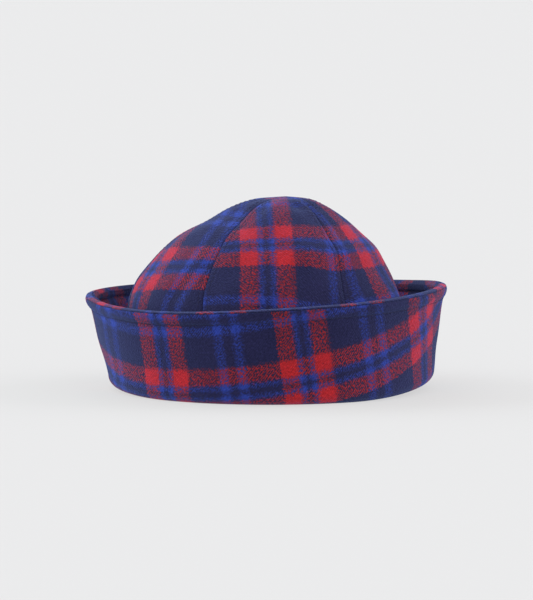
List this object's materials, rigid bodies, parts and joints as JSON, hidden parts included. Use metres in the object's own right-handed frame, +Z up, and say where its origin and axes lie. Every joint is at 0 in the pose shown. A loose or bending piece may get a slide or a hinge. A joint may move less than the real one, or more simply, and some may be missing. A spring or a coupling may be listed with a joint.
{
  "type": "sailor hat with turned-up brim",
  "caption": "Soft wool sailor hat: a domed crown sewn from gores, with a deep doubled brim turned up all round and stitched near its rim, in a red, blue and navy check.",
  "frame": {"origin": "on the table under the middle of the brim's rim", "axes": "+Z up out of the crown's top, -Y to the front, +X to the right as seen from the front"},
  "size_m": [0.2277, 0.2316, 0.1215],
  "materials": {
    "crown_cloth": "brushed wool flannel in a red, royal blue and navy check",
    "brim_cloth": "brushed wool flannel in a red, royal blue and navy check",
    "brim_lining_cloth": "brushed wool flannel, the brim's inner ply in the same check",
    "thread": "dark navy sewing thread"
  },
  "bodies": {
    "root": {"crown_gore_front": "crown_cloth", "crown_gore_front_right": "crown_cloth", "crown_gore_back_right": "crown_cloth", "crown_gore_back": "crown_cloth", "crown_gore_back_left": "crown_cloth", "crown_gore_front_left": "crown_cloth", "brim_outer": "brim_cloth", "brim_inner": "brim_lining_cloth"}
  },
  "joints": []
}
